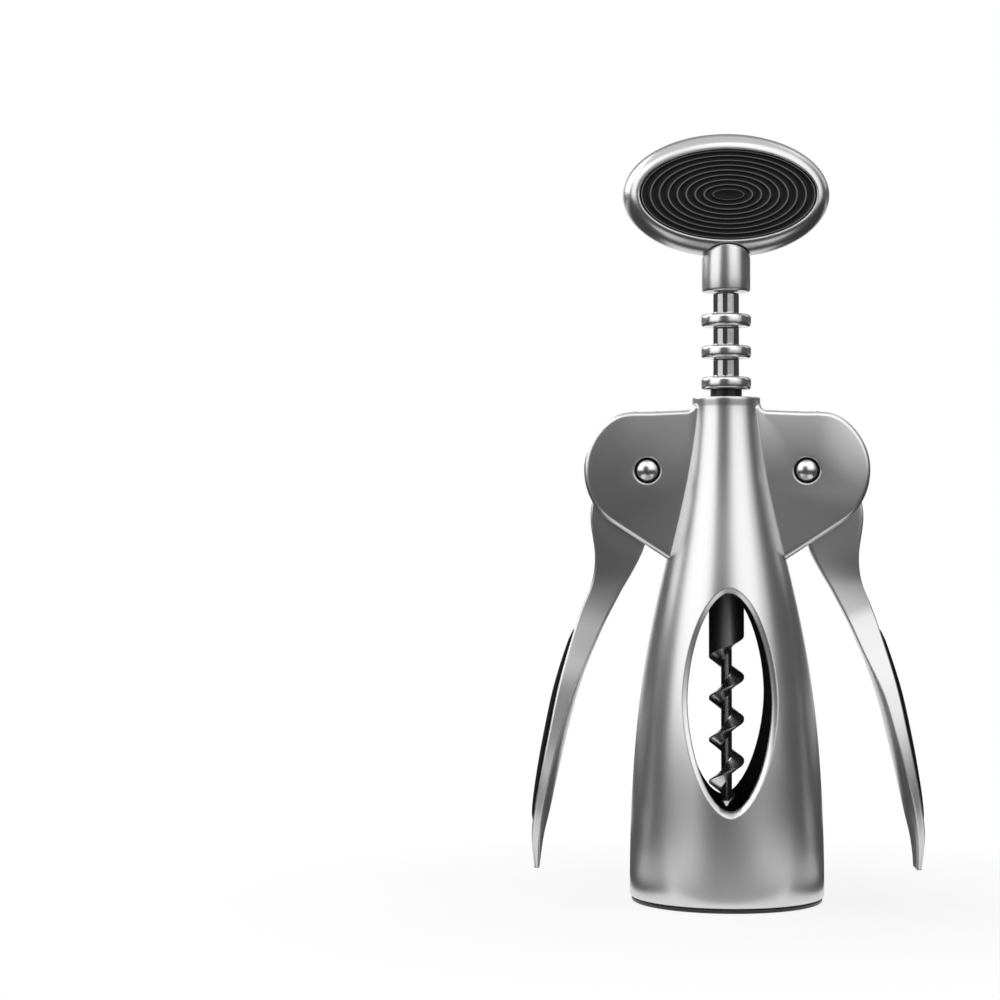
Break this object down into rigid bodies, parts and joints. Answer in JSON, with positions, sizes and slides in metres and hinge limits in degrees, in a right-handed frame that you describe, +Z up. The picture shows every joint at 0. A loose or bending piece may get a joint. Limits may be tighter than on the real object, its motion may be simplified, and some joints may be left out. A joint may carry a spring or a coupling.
{
  "type": "wing corkscrew",
  "caption": "Wing corkscrew: bell-shaped body on a bottle, ringed rack and worm with an oval turning handle, and hinged levers that lift the cork.",
  "frame": {"origin": "centre of the base's underside, on the screw's axis", "axes": "+Z up along the screw's axis to the handle, +X to the right lever seen from the front, -Y towards the viewer"},
  "size_m": [0.0932, 0.0462, 0.1832],
  "materials": {
    "body_alloy": "satin die-cast zinc alloy",
    "handle_alloy": "satin die-cast zinc alloy",
    "rack_alloy": "turned satin metal",
    "lever_alloy": "satin die-cast zinc alloy",
    "pin_steel": "polished",
    "worm_steel": "dark bright steel",
    "grip_rubber": "matt black rubber",
    "guide_plastic": "matt black moulding"
  },
  "bodies": {
    "frame": {"bell_body": "body_alloy", "bottle_guide": "guide_plastic", "pivot_pin_left": "pin_steel", "pivot_pin_right": "pin_steel"},
    "rack": {"rack_sleeve": "rack_alloy"},
    "screw": {"spindle": "worm_steel", "worm": "worm_steel", "handle_stem": "handle_alloy", "handle_oval": "handle_alloy", "handle_pad_front": "grip_rubber", "handle_pad_back": "grip_rubber"},
    "left_lever": {"lever_left": "lever_alloy", "lever_pad_left": "grip_rubber"},
    "right_lever": {"lever_right": "lever_alloy", "lever_pad_right": "grip_rubber"}
  },
  "joints": [
    {"name": "rack_slide", "type": "slide", "parent": "frame", "child": "rack", "axis": [0, 0, -1], "range_m": [0, 0.0315]},
    {"name": "handle_spin", "type": "hinge", "parent": "rack", "child": "screw", "pos_m": [0, 0, 0.13], "axis": [0, 0, 1], "continuous": true},
    {"name": "left_lever_pivot", "type": "hinge", "parent": "frame", "child": "left_lever", "pos_m": [-0.0189, 0, 0.1024], "axis": [0, 1, 0], "range_deg": [0, 137.5]},
    {"name": "right_lever_pivot", "type": "hinge", "parent": "frame", "child": "right_lever", "pos_m": [0.0189, 0, 0.1024], "axis": [0, -1, 0], "range_deg": [0, 137.5]}
  ],
  "couplings": [
    {"joint": "left_lever_pivot", "follows": "rack_slide", "rad_per_m": 76.16},
    {"joint": "right_lever_pivot", "follows": "rack_slide", "rad_per_m": 76.16}
  ]
}
